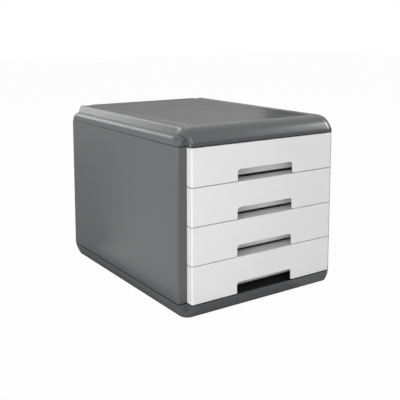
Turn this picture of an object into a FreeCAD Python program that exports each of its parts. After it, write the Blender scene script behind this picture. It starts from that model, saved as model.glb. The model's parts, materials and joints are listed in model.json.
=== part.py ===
import FreeCAD, Part
import math
import os
import re
import Sketcher
from FreeCAD import Vector

# Desktop file drawer: a moulded housing of base, two side panels, back panel and top cover,
# with four drawers that slide on ledges moulded into the side panels.
# X runs to the right seen from the front, Y runs backwards, Z up; the origin is on the desk,
# under the middle of the housing.

DRAWER_COUNT = 4

SIZES = {
    # housing
    "housing_width": 278.0,
    "housing_depth": 344.0,
    "base_height": 18.3,
    "drawer_pitch": 53.3,
    "cover_height": 23.4,
    "front_step": 12.3,            # drawer fronts stand this far ahead of the side panels
    "side_strip": 14.0,            # side panel seen beside the drawer fronts
    "shell_wall": 2.5,             # base and cover
    # side panels
    "panel_wall": 2.5,
    "panel_edge_radius": 2.8,
    "panel_rear_radius": 1.6,
    "front_overlap": 3.5,          # flange reaches this far in behind the drawer fronts
    "rear_return": 9.0,
    "seam_gap": 1.0,               # shadow seam between panel and base or cover
    "seam_depth": 1.2,
    "tongue_length": 5.0,
    "tongue_wall": 2.0,
    "tongue_end": 30.0,
    "fit_gap": 0.2,                # between pieces that plug into each other
    # ledges and guides that carry the drawers
    "ledge_wall": 2.5,
    "ledge_bearing": 7.0,          # ledge reaches this far under the tray
    "guide_wall": 2.0,
    "guide_height": 10.0,
    "running_gap": 0.3,
    "guide_gap": 0.4,
    # back panel
    "back_wall": 2.5,
    "groove_gap": 0.3,
    "groove_rib": 2.0,
    "groove_depth": 7.0,
    "bead_width": 8.0,
    "bead_height": 1.5,
    # drawer tray
    "tray_wall": 2.0,
    "tray_side_gap": 0.6,
    "tray_lift": 3.0,              # underside of the tray above the seam below its front
    "tray_top_gap": 1.0,
    "tray_rear_gap": 3.0,
    "tray_corner_radius": 6.0,
    "tray_bottom_radius": 3.0,
    "finger_depth": 20.0,          # from the front face back to the tray
    "drawer_travel": 240.0,
    "stop_standout": 4.0,
    "stop_length": 12.0,
    "stop_flat": 3.0,
    "stop_height": 12.0,
    "stop_lift": 16.0,
    # drawer front
    "front_wall": 2.5,
    "front_gap": 1.0,              # between one front and the next
    "front_rear_gap": 0.4,
    "front_corner_radius": 1.6,
    "front_edge_radius": 0.7,
    "flange_wall": 2.2,
    "lip_wall": 1.8,
    "lip_depth": 8.0,
    "lip_end_inset": 17.0,
    "front_rib_wall": 2.0,
    "latch_inset": 33.0,           # from the front's end to the middle of its latch
    "rib_spacing": 18.0,           # ribs stand this far to each side of the latch
    "latch_width": 14.0,
    "latch_wall": 2.0,
    "latch_hook": 1.4,
    "latch_height": 26.0,
    "notch_width": 100.0,
    "notch_height": 17.0,
    "notch_radius": 5.0,
    "notch_lip_radius": 1.5,
    # base
    "base_corner_radius": 18.0,
    "base_edge_radius": 8.5,
    "base_step_height": 9.5,
    "base_cove_radius": 9.0,
    "column_gap": 1.1,             # extra shadow gap above and below the column of fronts
    "foot_radius": 8.0,
    "foot_standout": 2.0,
    "foot_recess": 1.2,
    "foot_edge_radius": 0.8,
    "foot_inset": 28.0,
    "boss_radius": 4.2,
    "boss_pad_radius": 6.0,
    "boss_pad_height": 3.0,
    "boss_end_inset": 40.0,
    "screw_head_radius": 3.3,
    "screw_head_height": 2.2,
    "screw_shank_radius": 1.5,
    "screw_length": 13.0,
    "screw_gap": 0.1,
    # cover
    "tier_height": 11.3,
    "tier_radius": 7.0,
    "ribbon_standout": 3.8,        # foot of the raised centre beyond the fronts on each side
    "riser_lean": 3.0,
    "crest_drop": 6.0,
    "crest_width": 9.6,
    "crest_radius": 9.6,
    "crest_depth": 0.2,
    "valley_inset": 19.0,
    "valley_depth": 1.0,
    "swell_inset": 30.8,           # where the valley's inner slope eases off towards the flat field
    "swell_depth": 0.2,
    "field_inset": 40.8,
    "nose_depth": 31.5,
    "nose_low_radius": 13.0,
    "nose_standout": 2.0,
    "nose_corner_radius": 2.4,
    "nose_groove_inset": 5.0,
    "nose_groove_depth": 0.25,
    "nose_swell_inset": 8.0,
    "nose_swell_depth": 0.1,
    "nose_field_inset": 12.0,
    "cover_rib_wall": 2.0,
    "cover_rear_radius": 1.2,
    "cover_hollow_radius": 1.5,
}

doc = FreeCAD.newDocument("file_drawer")
sheet = doc.addObject("Spreadsheet::Sheet", "dims")
for row, (alias, size) in enumerate(SIZES.items(), start=1):
    sheet.set(f"A{row}", alias)
    sheet.set(f"B{row}", str(size))
    sheet.setAlias(f"B{row}", alias)
doc.recompute()


def formula(text):
    """The same formula with each size's name pointing at its cell."""
    return re.sub(r"[a-z_]+", lambda word: "dims." + word[0] if word[0] in SIZES else word[0], str(text))


def value(text):
    return float(sheet.evalExpression(formula(text)))


# places that several pieces share
HALF_WIDTH = "(housing_width / 2)"
FRONT_Y = "(-housing_depth / 2)"
BACK_Y = "(housing_depth / 2)"
PANEL_Y = f"({FRONT_Y} + front_step)"
FRONT_HALF = f"({HALF_WIDTH} - side_strip)"
OPENING_HALF = f"({FRONT_HALF} - front_overlap)"
TRAY_HALF = f"({OPENING_HALF} - tray_side_gap)"
TRAY_Y = f"({FRONT_Y} + finger_depth)"
TRAY_BACK_Y = f"({BACK_Y} - panel_wall - back_wall - tray_rear_gap)"
GUIDE_INNER = f"({TRAY_HALF} + guide_gap)"
LEDGE_INNER = f"({TRAY_HALF} - ledge_bearing)"
LEDGE_TOP = "(tray_lift - running_gap)"          # above the seam of its drawer
BOSS_X = f"(({LEDGE_INNER} + {HALF_WIDTH} - panel_wall) / 2)"
LATCH_X = f"({FRONT_HALF} - latch_inset)"
LIP_HALF = f"({FRONT_HALF} - lip_end_inset)"
RIBBON_HALF = f"({FRONT_HALF} + ribbon_standout)"
NOSE_HALF = f"({FRONT_HALF} + nose_standout)"
BASE_TOP = "(foot_standout + base_height)"
COVER_Z = f"({BASE_TOP} + {DRAWER_COUNT} * drawer_pitch + column_gap)"
RAIL_Y = f"({BACK_Y} - panel_wall - back_wall - groove_gap - groove_rib)"


# ---- sketch and feature helpers ----

def arc_centre(start, end, radius, turn):
    """Centre of the minor arc from start to end; turn is 1 for anticlockwise."""
    chord = end - start
    rise = math.sqrt(max(radius ** 2 - chord.Length ** 2 / 4, 0))
    return (start + end) / 2 + Vector(-chord.y, chord.x, 0).normalize() * rise * turn


def draw(sketch, outline):
    """Closed outline of corners (x, y); a corner (x, y, radius, turn) is reached by an arc."""
    first = sketch.GeometryCount
    points = [Vector(value(corner[0]), value(corner[1]), 0) for corner in outline]
    ends = []
    for i, corner in enumerate(outline):
        here, before = points[i], points[i - 1]
        if len(corner) == 2:
            sketch.addGeometry(Part.LineSegment(before, here), False)
            ends.append((1, 2))
            continue
        radius, turn = value(corner[2]), corner[3]
        centre = arc_centre(before, here, radius, turn)
        angles = [math.atan2(p.y - centre.y, p.x - centre.x) for p in (before, here)][::turn]
        circle = Part.Circle(centre, Vector(0, 0, 1), radius)
        sketch.addGeometry(Part.ArcOfCircle(circle, *angles), False)
        ends.append((1, 2)[::turn])
    for i, corner in enumerate(outline):
        following = (i + 1) % len(outline)
        sketch.addConstraint(Sketcher.Constraint(
            "Coincident", first + i, ends[i][1], first + following, ends[following][0]))
        for kind, coordinate, place in (("DistanceX", points[i].x, corner[0]),
                                        ("DistanceY", points[i].y, corner[1])):
            number = sketch.addConstraint(Sketcher.Constraint(kind, first + i, ends[i][1], coordinate))
            sketch.setExpression(f"Constraints[{number}]", formula(place))
        if len(corner) == 4:
            number = sketch.addConstraint(Sketcher.Constraint("Radius", first + i, value(corner[2])))
            sketch.setExpression(f"Constraints[{number}]", formula(corner[2]))


def draw_circle(sketch, x, y, radius):
    circle = Part.Circle(Vector(value(x), value(y), 0), Vector(0, 0, 1), value(radius))
    number = sketch.addGeometry(circle, False)
    for constraint, size in ((Sketcher.Constraint("DistanceX", number, 3, value(x)), x),
                             (Sketcher.Constraint("DistanceY", number, 3, value(y)), y),
                             (Sketcher.Constraint("Radius", number, value(radius)), radius)):
        sketch.setExpression(f"Constraints[{sketch.addConstraint(constraint)}]", formula(size))


def rectangle(x0, x1, y0, y1):
    return [(x0, y0), (x1, y0), (x1, y1), (x0, y1)]


def rounded_rectangle(x0, x1, y0, y1, radius):
    return [
        (f"{x0} + {radius}", y0, radius, 1), (f"{x1} - {radius}", y0),
        (x1, f"{y0} + {radius}", radius, 1), (x1, f"{y1} - {radius}"),
        (f"{x1} - {radius}", y1, radius, 1), (f"{x0} + {radius}", y1),
        (x0, f"{y1} - {radius}", radius, 1), (x0, f"{y0} + {radius}"),
    ]


def mirrored(outline):
    """The outline on the other side of the second axis."""
    return [(f"-({c[0]})", c[1]) if len(c) == 2 else (f"-({c[0]})", c[1], c[2], -c[3]) for c in outline]


def origin_part(body, role):
    return next(part for part in body.Origin.OriginFeatures if part.Role == role)


def add_body(label):
    body = doc.addObject("PartDesign::Body", label)
    body.Label = label
    return body


def add_sketch(body, name, plane, outlines, offset="0"):
    sketch = body.newObject("Sketcher::SketchObject", name)
    sketch.AttachmentSupport = [(origin_part(body, plane + "_Plane"), "")]
    sketch.MapMode = "FlatFace"
    sketch.setExpression("AttachmentOffset.Base.z", formula(offset))
    for outline in outlines:
        if isinstance(outline, tuple):
            draw_circle(sketch, *outline)
        else:
            draw(sketch, outline)
    return sketch


def extrude(body, name, plane, outlines, start, end, cut=False):
    """Pad or pocket of outlines between two heights along the plane's axis (Y for XZ)."""
    if plane == "XZ":
        offset = f"-({start})" if cut else f"-({end})"
    else:
        offset = end if cut else start
    sketch = add_sketch(body, name + "_outline", plane, outlines, offset)
    feature = body.newObject("PartDesign::Pocket" if cut else "PartDesign::Pad", name)
    feature.Profile = sketch
    feature.setExpression("Length", formula(f"({end}) - ({start})"))
    doc.recompute()
    return feature


def mirror(body, name, features):
    feature = body.newObject("PartDesign::Mirrored", name)
    feature.Originals = features
    feature.MirrorPlane = (origin_part(body, "YZ_Plane"), [""])
    body.Tip = feature
    doc.recompute()
    return feature


def stack(body, name, features, count):
    """Repeats features upwards at the drawers' pitch."""
    feature = body.newObject("PartDesign::LinearPattern", name)
    feature.Originals = features
    feature.Direction = (origin_part(body, "Z_Axis"), [""])
    feature.Occurrences = count
    feature.setExpression("Length", formula(f"{count - 1} * drawer_pitch"))
    body.Tip = feature
    doc.recompute()
    return feature


def fillet(body, name, radius, chosen):
    """Rounds the edges of the body so far whose bounding box passes the test."""
    base = body.Tip
    names = [f"Edge{i}" for i, edge in enumerate(base.Shape.Edges, start=1) if chosen(edge.BoundBox)]
    feature = body.newObject("PartDesign::Fillet", name)
    feature.Base = (base, names)
    feature.setExpression("Radius", formula(radius))
    doc.recompute()
    return feature


def near(a, b):
    return abs(a - b) < 1e-4


def upright(box):
    return box.XLength < 1e-4 and box.YLength < 1e-4


def at_height(box, z):
    return near(box.ZMin, z) and near(box.ZMax, z)


# ---- housing ----

def panel_outline(inset):
    """C section of the right side panel from above; inset pulls its outside face in."""
    outer_x = f"({HALF_WIDTH} - {inset})"
    outer_y = f"({PANEL_Y} + {inset})"
    rear_y = f"({BACK_Y} - {inset})"
    front_radius = f"(panel_edge_radius - {inset})"
    rear_radius = f"(panel_rear_radius - {inset})"
    inner_x = f"({HALF_WIDTH} - panel_wall)"
    return [
        (OPENING_HALF, outer_y),
        (f"{outer_x} - {front_radius}", outer_y),
        (outer_x, f"{outer_y} + {front_radius}", front_radius, 1),
        (outer_x, f"{rear_y} - {rear_radius}"),
        (f"{outer_x} - {rear_radius}", rear_y, rear_radius, 1),
        (f"{HALF_WIDTH} - rear_return", rear_y),
        (f"{HALF_WIDTH} - rear_return", f"{BACK_Y} - panel_wall"),
        (inner_x, f"{BACK_Y} - panel_wall"),
        (inner_x, f"{PANEL_Y} + panel_wall"),
        (OPENING_HALF, f"{PANEL_Y} + panel_wall"),
    ]


def tongue_outline(seam, way):
    """Section of the tongue that plugs into the cover (way 1) or the base (way -1)."""
    outer = f"({HALF_WIDTH} - panel_wall)"
    inner = f"({outer} - tongue_wall)"
    return [
        (inner, f"{seam} - {way} * tongue_length"), (outer, f"{seam} - {way} * tongue_length"),
        (outer, seam), (f"{outer} - fit_gap", seam),
        (f"{outer} - fit_gap", f"{seam} + {way} * tongue_length"),
        (inner, f"{seam} + {way} * tongue_length"),
    ]


def screw_places(side):
    """The three screws of one side panel, front to back."""
    ends = (f"{PANEL_Y} + boss_end_inset", f"{BACK_Y} - boss_end_inset")
    return [(f"{side} * {BOSS_X}", y) for y in (ends[0], f"({ends[0]} + {ends[1]}) / 2", ends[1])]


def make_side_panel(label, side):
    """Skin with front flange and rear return, and the ledges that the drawers slide on."""
    body = add_body(label)

    def on_side(*outlines):
        return [outline if side == 1 else mirrored(outline) for outline in outlines]

    extrude(body, "core", "XY", on_side(panel_outline("seam_depth")), BASE_TOP, COVER_Z)
    extrude(body, "skin", "XY", on_side(panel_outline("0")),
            f"{BASE_TOP} + seam_gap", f"{COVER_Z} - seam_gap")
    inner_x = f"({HALF_WIDTH} - panel_wall)"
    extrude(body, "groove_rib", "XY",
            on_side(rectangle(f"{inner_x} - groove_depth", inner_x, RAIL_Y, f"{RAIL_Y} + groove_rib")),
            BASE_TOP, COVER_Z)
    extrude(body, "tongues", "XZ", on_side(tongue_outline(BASE_TOP, -1), tongue_outline(COVER_Z, 1)),
            f"{PANEL_Y} + tongue_end", f"{BACK_Y} - tongue_end")
    top = f"({BASE_TOP} + {LEDGE_TOP})"
    guide_outer = f"({GUIDE_INNER} + guide_wall)"
    ledge = extrude(body, "ledge", "XZ", on_side([
        (LEDGE_INNER, f"{top} - ledge_wall"), (inner_x, f"{top} - ledge_wall"),
        (inner_x, top), (guide_outer, top),
        (guide_outer, f"{top} + guide_height"), (GUIDE_INNER, f"{top} + guide_height"),
        (GUIDE_INNER, top), (LEDGE_INNER, top),
    ]), f"{PANEL_Y} + panel_wall", RAIL_Y)
    stack(body, "ledges", [ledge], DRAWER_COUNT)
    places = screw_places(side)
    boss_foot = "(foot_standout + shell_wall + boss_pad_height)"
    extrude(body, "bosses", "XY", [(x, y, "boss_radius") for x, y in places],
            boss_foot, f"{top} - ledge_wall / 2")
    extrude(body, "pilot_holes", "XY", [(x, y, "screw_shank_radius + screw_gap") for x, y in places],
            boss_foot, f"{top} - ledge_wall", cut=True)
    return body


def make_back_panel():
    """Plate that slides down between the rear returns and the groove ribs."""
    body = add_body("back_panel")
    half = f"({HALF_WIDTH} - panel_wall - groove_gap)"
    outer_y = f"({BACK_Y} - panel_wall)"
    upper_half = f"({half} - cover_hollow_radius)"
    upper_z = f"({COVER_Z} + tier_height - tier_radius - fit_gap)"      # clear of the cover's inner shoulder
    extrude(body, "plate", "XZ", [[
        (f"-{half}", f"{BASE_TOP} - tongue_length"), (half, f"{BASE_TOP} - tongue_length"),
        (half, COVER_Z), (upper_half, COVER_Z), (upper_half, upper_z),
        (f"-{upper_half}", upper_z), (f"-{upper_half}", COVER_Z), (f"-{half}", COVER_Z),
    ]], f"{outer_y} - back_wall", outer_y)
    bead_half = f"({HALF_WIDTH} - rear_return - bead_width)"
    bead_z = f"({BASE_TOP} + drawer_pitch)"
    bead = extrude(body, "bead", "XZ",
                   [rounded_rectangle(f"-{bead_half}", bead_half, f"{bead_z} - bead_width / 2",
                                      f"{bead_z} + bead_width / 2", "(bead_width / 2.5)")],
                   outer_y, f"{outer_y} + bead_height")
    stack(body, "beads", [bead], DRAWER_COUNT - 1)
    return body


def foot_places():
    x = f"({HALF_WIDTH} - foot_inset)"
    y = f"({BACK_Y} - foot_inset)"
    return {"front_left": (f"-{x}", f"-{y}"), "front_right": (x, f"-{y}"),
            "rear_left": (f"-{x}", y), "rear_right": (x, y)}


def make_base():
    """Open tray that carries the panels; its rounded under-edge turns up to the first seam."""
    body = add_body("base")
    floor_z = "(foot_standout + shell_wall)"
    rim_z = f"({BASE_TOP} - base_step_height)"
    rear_r = "panel_edge_radius"
    extrude(body, "block", "XY", [[
        (f"-{HALF_WIDTH}", FRONT_Y), (HALF_WIDTH, FRONT_Y), (HALF_WIDTH, f"{BACK_Y} - {rear_r}"),
        (f"{HALF_WIDTH} - {rear_r}", BACK_Y, rear_r, 1), (f"-{HALF_WIDTH} + {rear_r}", BACK_Y),
        (f"-{HALF_WIDTH}", f"{BACK_Y} - {rear_r}", rear_r, 1),
    ]], "foot_standout", BASE_TOP)
    clear_x = f"({HALF_WIDTH} + shell_wall)"
    clear_y = f"({FRONT_Y} - shell_wall)"
    step = rectangle(FRONT_HALF, clear_x, clear_y, PANEL_Y)
    extrude(body, "corner_steps", "XY", [step, mirrored(step)], rim_z, f"{BASE_TOP} + shell_wall", cut=True)
    # coves lead from the stepped outline under the panels out to the plain rounded rim
    cove = "base_cove_radius"
    front_cove = extrude(body, "front_cove", "YZ", [[
        (PANEL_Y, rim_z), (PANEL_Y, f"{rim_z} + {cove}"), (f"{PANEL_Y} - {cove}", rim_z, cove, -1),
    ]], FRONT_HALF, HALF_WIDTH)
    side_cove = extrude(body, "side_cove", "XZ", [[
        (FRONT_HALF, rim_z), (f"{FRONT_HALF} + {cove}", rim_z), (FRONT_HALF, f"{rim_z} + {cove}", cove, -1),
    ]], FRONT_Y, PANEL_Y)
    mirror(body, "left_coves", [front_cove, side_cove])
    corner = "base_corner_radius"
    beyond = [
        (f"{HALF_WIDTH} - {corner}", clear_y), (clear_x, clear_y), (clear_x, f"{FRONT_Y} + {corner}"),
        (HALF_WIDTH, f"{FRONT_Y} + {corner}"), (f"{HALF_WIDTH} - {corner}", FRONT_Y, corner, -1),
    ]
    extrude(body, "corner_rounds", "XY", [beyond, mirrored(beyond)],
            "foot_standout", f"{BASE_TOP} + shell_wall", cut=True)
    body_bottom = value("foot_standout")
    fillet(body, "under_edge", "base_edge_radius", lambda box: at_height(box, body_bottom))
    extrude(body, "front_relief", "XY",
            [rectangle(f"-{FRONT_HALF}", FRONT_HALF, clear_y, f"{FRONT_Y} + 2 * shell_wall")],
            f"{BASE_TOP} - column_gap", f"{BASE_TOP} + shell_wall", cut=True)
    upper_z = "(foot_standout + base_edge_radius)"
    inner_half = f"({HALF_WIDTH} - shell_wall)"
    nose_half = f"({FRONT_HALF} - shell_wall)"
    extrude(body, "upper_hollow", "XY", [[
        (f"-{nose_half}", f"{FRONT_Y} + shell_wall"), (nose_half, f"{FRONT_Y} + shell_wall"),
        (nose_half, f"{PANEL_Y} + shell_wall"), (inner_half, f"{PANEL_Y} + shell_wall"),
        (inner_half, f"{BACK_Y} - shell_wall"), (f"-{inner_half}", f"{BACK_Y} - shell_wall"),
        (f"-{inner_half}", f"{PANEL_Y} + shell_wall"), (f"-{nose_half}", f"{PANEL_Y} + shell_wall"),
    ]], upper_z, BASE_TOP, cut=True)
    deep_half = f"({HALF_WIDTH} - base_edge_radius)"
    extrude(body, "lower_hollow", "XY", [rounded_rectangle(
        f"-{deep_half}", deep_half, f"({FRONT_Y} + front_step + shell_wall)",
        f"({BACK_Y} - base_edge_radius)", "tray_corner_radius")], floor_z, upper_z, cut=True)
    places = screw_places(1) + screw_places(-1)
    extrude(body, "screw_pads", "XY", [(x, y, "boss_pad_radius") for x, y in places],
            f"{floor_z} - shell_wall / 2", f"{floor_z} + boss_pad_height")
    extrude(body, "screw_holes", "XY", [(x, y, "screw_shank_radius + screw_gap") for x, y in places],
            "foot_standout", f"{floor_z} + boss_pad_height", cut=True)
    extrude(body, "head_recesses", "XY", [(x, y, "screw_head_radius + 4 * screw_gap") for x, y in places],
            "foot_standout", "foot_standout + screw_head_height + screw_gap", cut=True)
    extrude(body, "foot_recesses", "XY", [(x, y, "foot_radius + fit_gap") for x, y in foot_places().values()],
            "foot_standout", "foot_standout + foot_recess", cut=True)
    return body


def make_foot(label, x, y):
    """Rubber disc pressed into its recess under the base."""
    body = add_body(label)
    extrude(body, "disc", "XY", [("0", "0", "foot_radius")], "0", "foot_standout + foot_recess")
    fillet(body, "soft_edge", "foot_edge_radius", lambda box: at_height(box, 0))
    body.setExpression("Placement.Base.x", formula(x))
    body.setExpression("Placement.Base.y", formula(y))
    return body


def make_base_screws():
    """Six pan-head screws up through the base into the panels' bosses, as one body."""
    body = add_body("base_screws")
    body.AllowCompound = True
    shank_top = "(screw_head_height + screw_length)"
    first_y = f"({PANEL_Y} + boss_end_inset)"
    sketch = add_sketch(body, "half_section", "XZ", [[
        ("0", "0"), ("screw_head_radius * 0.7", "0"),
        ("screw_head_radius", "screw_head_height * 0.6", "screw_head_height * 0.8", 1),
        ("screw_head_radius", "screw_head_height"), ("screw_shank_radius", "screw_head_height"),
        ("screw_shank_radius", f"{shank_top} - screw_shank_radius"), ("0", shank_top),
    ]], f"-{first_y}")
    sketch.setExpression("AttachmentOffset.Base.x", formula(BOSS_X))
    sketch.setExpression("AttachmentOffset.Base.y", formula("foot_standout"))
    screw = body.newObject("PartDesign::Revolution", "screw")
    screw.Profile = sketch
    screw.ReferenceAxis = (sketch, ["V_Axis"])
    screw.Angle = 360
    row = body.newObject("PartDesign::LinearPattern", "row")
    row.Direction = (origin_part(body, "Y_Axis"), [""])
    row.Occurrences = 3
    row.setExpression("Length", formula(f"{BACK_Y} - boss_end_inset - {first_y}"))
    other_side = body.newObject("PartDesign::Mirrored", "other_side")
    other_side.MirrorPlane = (origin_part(body, "YZ_Plane"), [""])
    both_rows = body.newObject("PartDesign::MultiTransform", "both_rows")
    both_rows.Originals = [screw]
    both_rows.Transformations = [row, other_side]
    body.Tip = both_rows
    doc.recompute()
    return body


def ribbon_side(tier, inset):
    """Right half of the cover's raised centre in section, from the riser's foot to its flat field.

    Heights are below the top surface; inset moves the whole line inwards by a wall.
    """
    half = f"({RIBBON_HALF} - {inset})"
    foot = [(half, f"-({tier})")]
    riser = [(f"{half} - riser_lean", f"-crest_drop - {inset}")]
    crest = [(f"{half} - riser_lean - crest_width", f"-crest_depth - {inset}", "crest_radius", 1)]
    valley = [(f"{half} - valley_inset", f"-valley_depth - {inset}")]
    swell = [(f"{half} - swell_inset", f"-swell_depth - {inset}")]
    field = [(f"{half} - field_inset", f"-{inset}")]
    return foot + riser + crest + valley + swell + field


def nose_side(tier, inset):
    """The same line where the nose meets the drawer fronts: nearly square to its corner."""
    half = f"({NOSE_HALF} - {inset})"
    return [
        (half, f"-({tier})"),
        (half, f"-nose_corner_radius - {inset}"),
        (f"{half} - nose_corner_radius", f"-{inset}", "nose_corner_radius", 1),
        (f"{half} - nose_groove_inset", f"-nose_groove_depth - {inset}"),
        (f"{half} - nose_swell_inset", f"-nose_swell_depth - {inset}"),
        (f"{half} - nose_field_inset", f"-{inset}"),
    ]


def whole(side_line):
    """Closed section from its right half: across the flat field and down the left half."""
    left = mirrored(side_line)[::-1]
    closed = list(side_line)
    for i, corner in enumerate(left):
        # an arc belongs to the corner it leads to, so on the way down it moves one corner on
        before = left[i - 1] if i else None
        arc = before[2:] if before is not None and len(before) == 4 else ()
        turn = (arc[0], -arc[1]) if arc else ()
        closed.append((corner[0], corner[1], *turn))
    return closed


def nose_path(body, name):
    """Side view of the nose: from the flat top round and down to the fronts, in two arcs."""
    drop = value("cover_height")
    low = value("nose_low_radius")
    depth = value("nose_depth")
    high = ((depth - low) ** 2 + drop ** 2 - low ** 2) / (2 * (drop - low))
    start = Vector(value(FRONT_Y) + depth, value(COVER_Z) + value("cover_height"), 0)
    end = Vector(value(FRONT_Y), value(COVER_Z), 0)
    high_centre = start - Vector(0, high, 0)
    low_centre = end + Vector(low, 0, 0)
    toward = (low_centre - high_centre).normalize()
    turn = math.atan2(toward.y, toward.x)
    sketch = body.newObject("Sketcher::SketchObject", name)
    sketch.AttachmentSupport = [(origin_part(body, "YZ_Plane"), "")]
    sketch.MapMode = "FlatFace"
    up = Vector(0, 0, 1)
    sketch.addGeometry(Part.ArcOfCircle(Part.Circle(high_centre, up, high), math.pi / 2, turn), False)
    sketch.addGeometry(Part.ArcOfCircle(Part.Circle(low_centre, up, low), turn, math.pi), False)
    sketch.addConstraint(Sketcher.Constraint("Tangent", 0, 2, 1, 1))
    for geometry, point, axis, place in (
            (0, 1, "DistanceX", f"{FRONT_Y} + nose_depth"), (0, 1, "DistanceY", f"{COVER_Z} + cover_height"),
            (0, 3, "DistanceX", f"{FRONT_Y} + nose_depth"),
            (1, 2, "DistanceX", FRONT_Y), (1, 2, "DistanceY", COVER_Z), (1, 3, "DistanceY", COVER_Z)):
        number = sketch.addConstraint(Sketcher.Constraint(axis, geometry, point, value(place)))
        sketch.setExpression(f"Constraints[{number}]", formula(place))
    number = sketch.addConstraint(Sketcher.Constraint("Radius", 1, low))
    sketch.setExpression(f"Constraints[{number}]", formula("nose_low_radius"))
    doc.recompute()
    return sketch


def sweep_nose(body, name, path, tier, inset, cut=False):
    """The ribbon's section carried round the nose, from the flat top down to the fronts."""
    start_y = f"({FRONT_Y} + nose_depth)"
    top_z = f"({COVER_Z} + cover_height)"
    start = add_sketch(body, name + "_start", "XZ",
                       [[(c[0], f"{top_z} + {c[1]}", *c[2:]) for c in whole(ribbon_side(tier, inset))]],
                       f"-{start_y}")
    end = add_sketch(body, name + "_end", "XY",
                     [[(c[0], f"{FRONT_Y} - ({c[1]})", *c[2:3], *[-t for t in c[3:]])
                       for c in whole(nose_side(tier, inset))]], COVER_Z)
    kind = "PartDesign::SubtractivePipe" if cut else "PartDesign::AdditivePipe"
    feature = body.newObject(kind, name)
    feature.Profile = start
    feature.Spine = (path, ["Edge1", "Edge2"])
    feature.Transformation = "Multisection"
    feature.Sections = [(end, [""])]
    feature.Mode = "Binormal"
    feature.Binormal = Vector(1, 0, 0)
    doc.recompute()
    return feature


def shoulder_waste(wall, way, top, radius):
    """What a quarter-round between a wall and a top leaves over; way is 1 where the wall faces plus."""
    inner, outer = (f"({wall} - {way} * {radius})", f"({wall} + {way} * shell_wall)")
    return [(inner, top), (wall, f"{top} - {radius}", radius, -way), (outer, f"{top} - {radius}"),
            (outer, f"{top} + shell_wall"), (inner, f"{top} + shell_wall")]


def shoulder_fill(wall, way, top, radius):
    """The same round from inside: what it adds to a square inner corner."""
    return [(f"({wall} - {way} * {radius})", top), (wall, f"{top} - {radius}", radius, -way), (wall, top)]


def make_cover():
    """Two-tier lid: an outer tier over the panels and a raised centre that turns down in front."""
    body = add_body("top_cover")
    top_z = f"({COVER_Z} + cover_height)"
    nose_back = f"({FRONT_Y} + nose_depth)"
    inner_tier = "cover_height - tier_height + shell_wall"
    outline = rounded_rectangle(f"-{HALF_WIDTH}", HALF_WIDTH, PANEL_Y, BACK_Y, "panel_edge_radius")
    extrude(body, "tier", "XY", [outline], COVER_Z, f"{COVER_Z} + tier_height")
    tier_z = value(f"{COVER_Z} + tier_height")
    tier_top = f"({COVER_Z} + tier_height)"
    shoulder = [shoulder_waste(HALF_WIDTH, 1, tier_top, "tier_radius")]
    extrude(body, "side_shoulders", "XZ", shoulder + [mirrored(shoulder[0])],
            f"{PANEL_Y} - shell_wall", f"{BACK_Y} + shell_wall", cut=True)
    extrude(body, "end_shoulders", "YZ", [shoulder_waste(PANEL_Y, -1, tier_top, "tier_radius"),
                                          shoulder_waste(BACK_Y, 1, tier_top, "tier_radius")],
            f"-({HALF_WIDTH} + shell_wall)", f"{HALF_WIDTH} + shell_wall", cut=True)

    def section(tier, inset):
        return [(c[0], f"{top_z} + {c[1]}", *c[2:]) for c in whole(ribbon_side(tier, inset))]

    extrude(body, "ribbon", "XZ", [section("cover_height - tier_height", "0")], nose_back, BACK_Y)
    rear_y = value(BACK_Y)
    fillet(body, "rear_edge", "cover_rear_radius",
           lambda box: near(box.YMin, rear_y) and near(box.YMax, rear_y) and box.ZMin > tier_z - 1e-3
           and box.ZMax > tier_z + 1e-3)
    path = nose_path(body, "nose_path")
    sweep_nose(body, "nose", path, "cover_height - tier_height", "0")
    hollow = rounded_rectangle(f"-({HALF_WIDTH} - shell_wall)", f"({HALF_WIDTH} - shell_wall)",
                               f"({PANEL_Y} + shell_wall)", f"({BACK_Y} - shell_wall)", "cover_hollow_radius")
    hollow_top = f"({tier_top} - shell_wall)"
    extrude(body, "tier_hollow", "XY", [hollow], COVER_Z, hollow_top, cut=True)
    inner_radius = "(tier_radius - shell_wall)"
    inner_side = shoulder_fill(f"({HALF_WIDTH} - shell_wall)", 1, hollow_top, inner_radius)
    extrude(body, "inner_side_shoulders", "XZ", [inner_side, mirrored(inner_side)],
            f"{PANEL_Y} + shell_wall", f"{BACK_Y} - shell_wall")
    extrude(body, "inner_end_shoulders", "YZ",
            [shoulder_fill(f"({PANEL_Y} + shell_wall)", -1, hollow_top, inner_radius),
             shoulder_fill(f"({BACK_Y} - shell_wall)", 1, hollow_top, inner_radius)],
            f"-({HALF_WIDTH} - shell_wall)", f"{HALF_WIDTH} - shell_wall")
    extrude(body, "ribbon_hollow", "XZ", [section(inner_tier, "shell_wall")],
            nose_back, f"{BACK_Y} - shell_wall", cut=True)
    sweep_nose(body, "nose_hollow", path, inner_tier, "shell_wall", cut=True)
    rib_x = f"({TRAY_HALF} - tray_wall / 2)"
    rib_foot = f"({COVER_Z} - column_gap + {LEDGE_TOP} - ledge_wall)"
    rib = rectangle(f"{rib_x} - cover_rib_wall / 2", f"{rib_x} + cover_rib_wall / 2",
                    rib_foot, f"{top_z} - crest_depth - shell_wall")
    extrude(body, "hold_down_ribs", "XZ", [rib, mirrored(rib)], nose_back, f"{BACK_Y} - tongue_end")
    return body


# ---- drawers, each built above its own seam and placed at its level ----

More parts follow.
